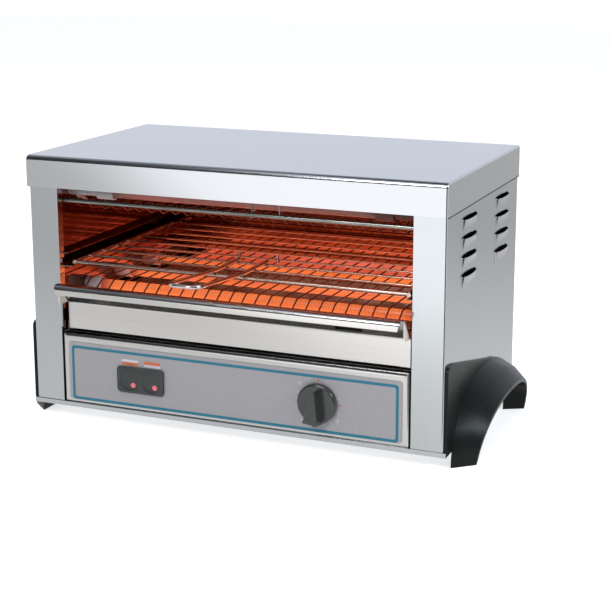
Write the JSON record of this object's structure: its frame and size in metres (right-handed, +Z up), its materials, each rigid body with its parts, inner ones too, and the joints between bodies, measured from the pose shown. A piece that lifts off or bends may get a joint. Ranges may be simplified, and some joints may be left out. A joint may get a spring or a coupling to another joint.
{
  "type": "electric countertop toaster",
  "caption": "Open-front countertop toaster with quartz elements, sliding wire rack, crumb tray, timer knob and rocker switches on arched feet.",
  "frame": {"origin": "on the surface that the feet stand on, under the middle of the outer box", "axes": "+X to the toaster's right seen from the front, +Y to its rear, +Z up; the front faces -Y"},
  "size_m": [0.5954, 0.409, 0.3245],
  "materials": {
    "brushed_steel": "fine satin stainless sheet",
    "mirror_steel": "bright polished reflector sheet",
    "hot_steel": "heat-darkened steel strip",
    "chrome_wire": "bright chromed wire",
    "hot_wire": "chromed wire, dulled by heat",
    "label": "satin grey printed plate with a blue-green border line",
    "black_plastic": "satin black",
    "knob_plastic": "glossy black",
    "foot_plastic": "satin charcoal moulding",
    "red_lens": "translucent red, lit",
    "timer_case": "plain moulded case",
    "ceramic": "unglazed off-white ceramic",
    "quartz_lower": "quartz tube, glowing bright orange",
    "quartz_upper": "quartz tube, glowing dull orange",
    "coil_lower": "resistance coil, glowing",
    "coil_upper": "resistance coil, glowing dully"
  },
  "bodies": {
    "toaster_body": {"top_cover": "brushed_steel", "side_panel_left": "brushed_steel", "side_panel_right": "brushed_steel", "rear_panel": "brushed_steel", "base_pan": "brushed_steel", "chamber_wall_left": "mirror_steel", "chamber_wall_right": "mirror_steel", "chamber_rear_wall": "mirror_steel", "ceiling_reflector": "mirror_steel", "control_deck": "brushed_steel", "control_panel": "brushed_steel", "panel_label": "label", "switch_bezel": "black_plastic", "switch_body_left": "black_plastic", "switch_body_right": "black_plastic", "timer_body": "timer_case", "terminal_block": "ceramic", "cable_gland": "black_plastic", "rack_rail_left": "hot_steel", "rack_rail_right": "hot_steel", "tray_runner_left": "hot_steel", "tray_runner_right": "hot_steel", "lower_guard": "hot_wire", "upper_guard": "hot_wire", "foot_left": "foot_plastic", "foot_right": "foot_plastic", "quartz_tube_lower_front": "quartz_lower", "heating_coil_lower_front": "coil_lower", "ceramic_cap_lower_front_left": "ceramic", "ceramic_cap_lower_front_right": "ceramic", "quartz_tube_lower_middle": "quartz_lower", "heating_coil_lower_middle": "coil_lower", "ceramic_cap_lower_middle_left": "ceramic", "ceramic_cap_lower_middle_right": "ceramic", "quartz_tube_lower_rear": "quartz_lower", "heating_coil_lower_rear": "coil_lower", "ceramic_cap_lower_rear_left": "ceramic", "ceramic_cap_lower_rear_right": "ceramic", "quartz_tube_upper_front": "quartz_upper", "heating_coil_upper_front": "coil_upper", "ceramic_cap_upper_front_left": "ceramic", "ceramic_cap_upper_front_right": "ceramic", "quartz_tube_upper_middle": "quartz_upper", "heating_coil_upper_middle": "coil_upper", "ceramic_cap_upper_middle_left": "ceramic", "ceramic_cap_upper_middle_right": "ceramic", "quartz_tube_upper_rear": "quartz_upper", "heating_coil_upper_rear": "coil_upper", "ceramic_cap_upper_rear_left": "ceramic", "ceramic_cap_upper_rear_right": "ceramic"},
    "crumb_tray": {"crumb_tray": "brushed_steel", "crumb_tray_front": "brushed_steel"},
    "grill_rack": {"grill_rack": "chrome_wire", "rack_handle": "chrome_wire"},
    "rocker_left": {"rocker_left": "black_plastic", "pilot_lens_left": "red_lens"},
    "rocker_right": {"rocker_right": "black_plastic", "pilot_lens_right": "red_lens"},
    "timer_knob": {"timer_knob": "knob_plastic", "timer_shaft": "chrome_wire"}
  },
  "joints": [
    {"name": "crumb_tray_slide", "type": "slide", "parent": "toaster_body", "child": "crumb_tray", "axis": [0, -1, 0], "range_m": [0, 0.22]},
    {"name": "grill_rack_slide", "type": "slide", "parent": "toaster_body", "child": "grill_rack", "axis": [0, -1, 0], "range_m": [0, 0.2]},
    {"name": "rocker_left_tilt", "type": "hinge", "parent": "toaster_body", "child": "rocker_left", "pos_m": [-0.1284, -0.10425, 0.0621], "axis": [1, 0, 0], "range_deg": [-14, 0]},
    {"name": "rocker_right_tilt", "type": "hinge", "parent": "toaster_body", "child": "rocker_right", "pos_m": [-0.0996, -0.10425, 0.0621], "axis": [1, 0, 0], "range_deg": [-14, 0]},
    {"name": "timer_turn", "type": "hinge", "parent": "toaster_body", "child": "timer_knob", "pos_m": [0.1125, -0.10475, 0.0633], "axis": [0, 1, 0], "range_deg": [-186, 132]}
  ]
}
